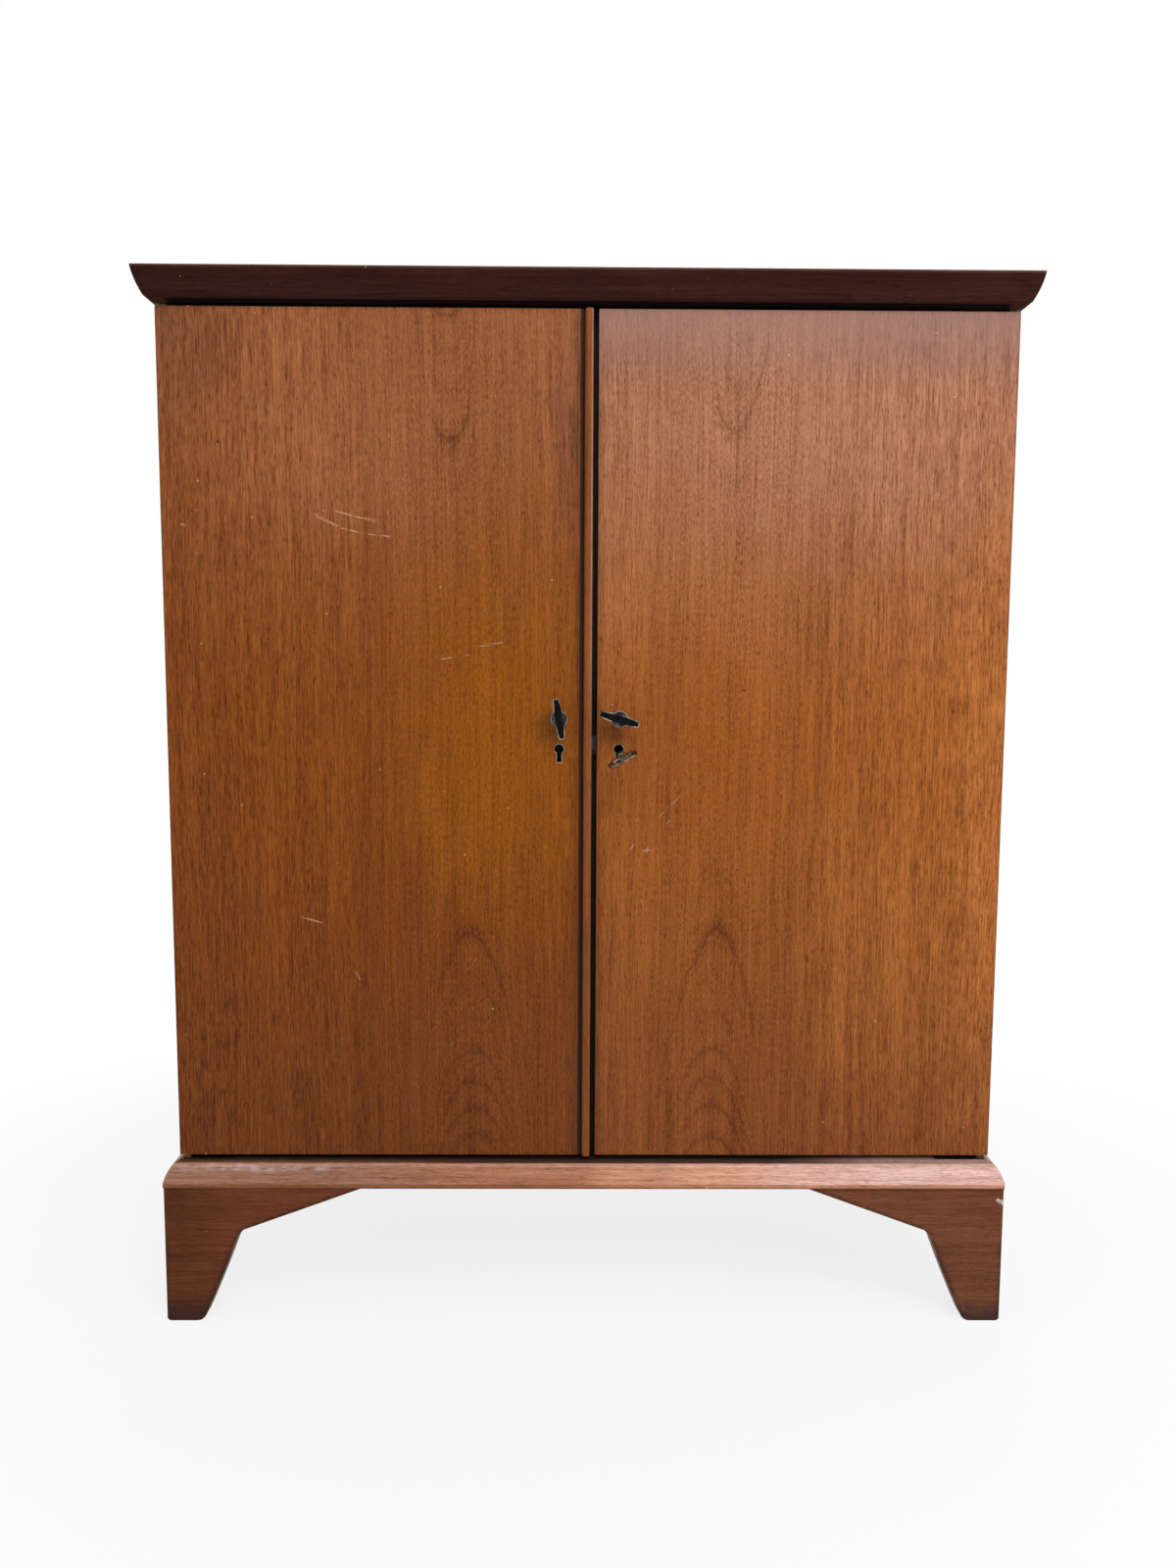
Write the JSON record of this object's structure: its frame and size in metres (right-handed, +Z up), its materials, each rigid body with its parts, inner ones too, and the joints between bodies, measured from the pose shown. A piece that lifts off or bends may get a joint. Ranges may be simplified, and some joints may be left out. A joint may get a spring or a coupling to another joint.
{
  "type": "bar cabinet",
  "caption": "Two-door bar cabinet with a flared cornice, moulded base on bracket feet, turn knobs, keyed locks, shelves, mirror and door bottle racks.",
  "frame": {"origin": "on the floor, at the middle of the footprint of the whole cabinet with its key", "axes": "+Z up, -Y towards the front (the doors), +X to the right as seen from the front"},
  "size_m": [0.937, 0.4474, 1.133],
  "materials": {
    "veneer": "satin lacquered red-brown veneer",
    "solid_wood": "satin lacquered solid wood",
    "dark_wood": "dark stained, satin",
    "lining_wood": "clear matt",
    "plywood": "unfinished",
    "glass": "clear float glass",
    "mirror": "silvered",
    "brass": "dull brass",
    "aged_metal": "antiqued, with worn bright rims",
    "key_metal": "worn nickel plate",
    "steel": "plain steel"
  },
  "bodies": {
    "case": {"left_side_panel": "veneer", "right_side_panel": "veneer", "case_top_board": "lining_wood", "case_bottom_board": "lining_wood", "back_panel": "plywood", "centre_partition": "lining_wood", "top_panel": "dark_wood", "cornice_front": "dark_wood", "cornice_left": "dark_wood", "cornice_right": "dark_wood", "base_moulding_front": "solid_wood", "base_moulding_left": "solid_wood", "base_moulding_right": "solid_wood", "base_rails": "lining_wood", "front_left_foot": "solid_wood", "front_right_foot": "solid_wood", "rear_left_foot": "solid_wood", "rear_right_foot": "solid_wood", "foot_corner_blocks": "lining_wood", "left_serving_shelf": "lining_wood", "left_glass_shelf": "glass", "right_lower_shelf": "lining_wood", "right_upper_shelf": "lining_wood", "shelf_pins": "brass", "back_mirror": "mirror", "base_pivots": "brass", "top_pivots": "brass", "partition_strikes": "steel"},
    "left_door": {"left_door_panel": "veneer", "meeting_bead": "solid_wood", "left_pivot_leaves": "brass", "left_keyhole_lining": "aged_metal", "left_lock_case": "steel", "left_lock_cover": "steel", "left_knob_bush": "aged_metal", "left_lower_rack": "lining_wood", "left_lower_rail": "brass", "left_upper_rack": "lining_wood", "left_upper_rail": "brass"},
    "right_door": {"right_door_panel": "veneer", "right_pivot_leaves": "brass", "right_keyhole_lining": "aged_metal", "right_lock_case": "steel", "right_lock_cover": "steel", "right_knob_bush": "aged_metal", "right_lower_rack": "lining_wood", "right_lower_rail": "brass", "right_upper_rack": "lining_wood", "right_upper_rail": "brass"},
    "left_turn_latch": {"left_knob": "aged_metal", "left_knob_spindle": "steel", "left_latch_tongue": "steel"},
    "right_turn_latch": {"right_knob": "aged_metal", "right_knob_spindle": "steel", "right_latch_tongue": "steel"},
    "left_bolt": {"left_lock_bolt": "brass"},
    "right_bolt": {"right_lock_bolt": "brass"},
    "turning_key": {"key": "key_metal"}
  },
  "joints": [
    {"name": "left_door_hinge", "type": "hinge", "parent": "case", "child": "left_door", "pos_m": [-0.443, -0.1695, 0.64], "axis": [0, 0, -1], "range_deg": [0, 180]},
    {"name": "right_door_hinge", "type": "hinge", "parent": "case", "child": "right_door", "pos_m": [0.443, -0.1695, 0.64], "axis": [0, 0, 1], "range_deg": [0, 180]},
    {"name": "left_knob_turn", "type": "hinge", "parent": "left_door", "child": "left_turn_latch", "pos_m": [-0.03, -0.1765, 0.672], "axis": [0, 1, 0], "range_deg": [0, 99]},
    {"name": "right_knob_turn", "type": "hinge", "parent": "right_door", "child": "right_turn_latch", "pos_m": [0.034, -0.1765, 0.672], "axis": [0, -1, 0], "range_deg": [0, 106]},
    {"name": "left_bolt_throw", "type": "slide", "parent": "left_door", "child": "left_bolt", "axis": [1, 0, 0], "range_m": [0, 0.011]},
    {"name": "right_bolt_throw", "type": "slide", "parent": "right_door", "child": "right_bolt", "axis": [-1, 0, 0], "range_m": [0, 0.011]},
    {"name": "key_turn", "type": "hinge", "parent": "right_door", "child": "turning_key", "pos_m": [0.034, -0.1665, 0.639], "axis": [0.0687, -0.9824, -0.1736], "range_deg": [0, 124]}
  ],
  "couplings": [
    {"joint": "right_bolt_throw", "follows": "key_turn", "m_per_rad": 0.00508}
  ]
}
